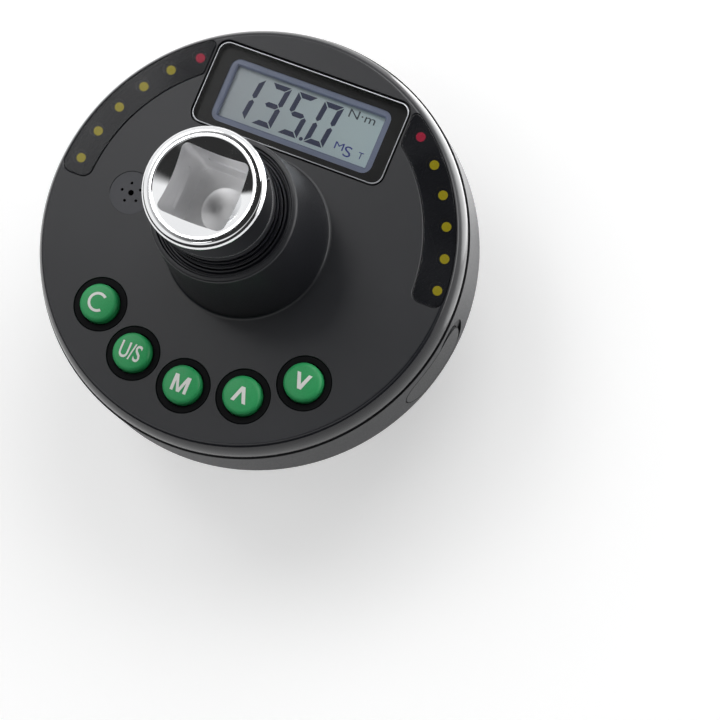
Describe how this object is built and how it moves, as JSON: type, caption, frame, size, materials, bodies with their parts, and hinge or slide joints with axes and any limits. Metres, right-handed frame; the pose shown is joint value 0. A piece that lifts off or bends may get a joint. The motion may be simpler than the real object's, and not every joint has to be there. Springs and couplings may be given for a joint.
{
  "type": "digital torque adapter",
  "caption": "Square-drive torque adapter: a shaft with a female and a male square through a round housing with a display, lamp windows and keys.",
  "frame": {"origin": "centre of the male square's tip face, the lowest point on the drive axis", "axes": "+Z along the drive axis from the male square to the female square, +Y from the axis towards the display, +X along the display's digits"},
  "size_m": [0.083, 0.083, 0.078],
  "materials": {
    "shaft_chrome": "polished chrome plate, satin on the male square",
    "detent_steel": "polished hardened steel",
    "spring_steel": "drawn wire",
    "case_plastic": "moulded, fine satin texture",
    "cover_plastic": "moulded, fine satin texture",
    "seal_rubber": "matt",
    "bronze": "sintered, matt",
    "ring_steel": "stamped, oiled",
    "screw_steel": "zinc plated",
    "lens_plastic": "clear window, its border printed black behind",
    "bezel": "satin, blue grey",
    "display_glass": "reflective display glass, grey green",
    "elastomer": "soft, striped with carbon",
    "window_plastic": "smoked",
    "lamp_red": "tinted, clear",
    "lamp_yellow": "tinted, clear",
    "key_rubber_black": "matt",
    "key_rubber_green": "silicone, satin",
    "board": "lacquered",
    "switch_metal": "stamped",
    "black_plastic": "moulded",
    "port_rubber": "matt",
    "gauge_foil": "polyimide with metal foil",
    "flex_foil": "polyimide ribbon",
    "cell_wrap": "plain wrap with steel ends",
    "contact_nickel": "nickel plated spring steel"
  },
  "bodies": {
    "housing": {"drive_shaft": "shaft_chrome", "detent_spring": "spring_steel", "top_shell": "case_plastic", "neck_seal": "seal_rubber", "upper_bush": "bronze", "lower_bush": "bronze", "retaining_ring": "ring_steel", "bottom_shell": "case_plastic", "battery_cover": "cover_plastic", "cover_screws": "screw_steel", "case_screws": "screw_steel", "board_screws": "screw_steel", "display_lens": "lens_plastic", "lcd_frame": "bezel", "lcd_panel": "display_glass", "zebra_strips": "elastomer", "led_window_left": "window_plastic", "led_window_right": "window_plastic", "leds_red": "lamp_red", "leds_yellow": "lamp_yellow", "key_membrane": "key_rubber_black", "key_switches": "switch_metal", "circuit_board": "board", "buzzer": "black_plastic", "data_socket": "black_plastic", "strain_gauges": "gauge_foil", "gauge_flex": "flex_foil", "battery_left": "cell_wrap", "battery_right": "cell_wrap", "battery_plates": "contact_nickel", "battery_springs": "contact_nickel"},
    "clear_key": {"button_clear": "key_rubber_green"},
    "unit_key": {"button_unit": "key_rubber_green"},
    "mode_key": {"button_mode": "key_rubber_green"},
    "up_key": {"button_up": "key_rubber_green"},
    "down_key": {"button_down": "key_rubber_green"},
    "ball": {"detent_ball": "detent_steel"},
    "port_flap": {"port_cover": "port_rubber"}
  },
  "joints": [
    {"name": "button_clear_press", "type": "slide", "parent": "housing", "child": "clear_key", "axis": [0, 0, -1], "range_m": [0, 0.0006], "stiffness_N_per_m": 2500},
    {"name": "button_unit_press", "type": "slide", "parent": "housing", "child": "unit_key", "axis": [0, 0, -1], "range_m": [0, 0.0006], "stiffness_N_per_m": 2500},
    {"name": "button_mode_press", "type": "slide", "parent": "housing", "child": "mode_key", "axis": [0, 0, -1], "range_m": [0, 0.0006], "stiffness_N_per_m": 2500},
    {"name": "button_up_press", "type": "slide", "parent": "housing", "child": "up_key", "axis": [0, 0, -1], "range_m": [0, 0.0006], "stiffness_N_per_m": 2500},
    {"name": "button_down_press", "type": "slide", "parent": "housing", "child": "down_key", "axis": [0, 0, -1], "range_m": [0, 0.0006], "stiffness_N_per_m": 2500},
    {"name": "detent_ball_press", "type": "slide", "parent": "housing", "child": "ball", "axis": [0, -1, 0], "range_m": [0, 0.00075], "stiffness_N_per_m": 5000},
    {"name": "port_cover_hinge", "type": "hinge", "parent": "housing", "child": "port_flap", "pos_m": [0.03771, -0.01686, 0.0323], "axis": [0, 0, -1], "range_deg": [0, 90], "stiffness_Nm_per_rad": 0.002}
  ]
}
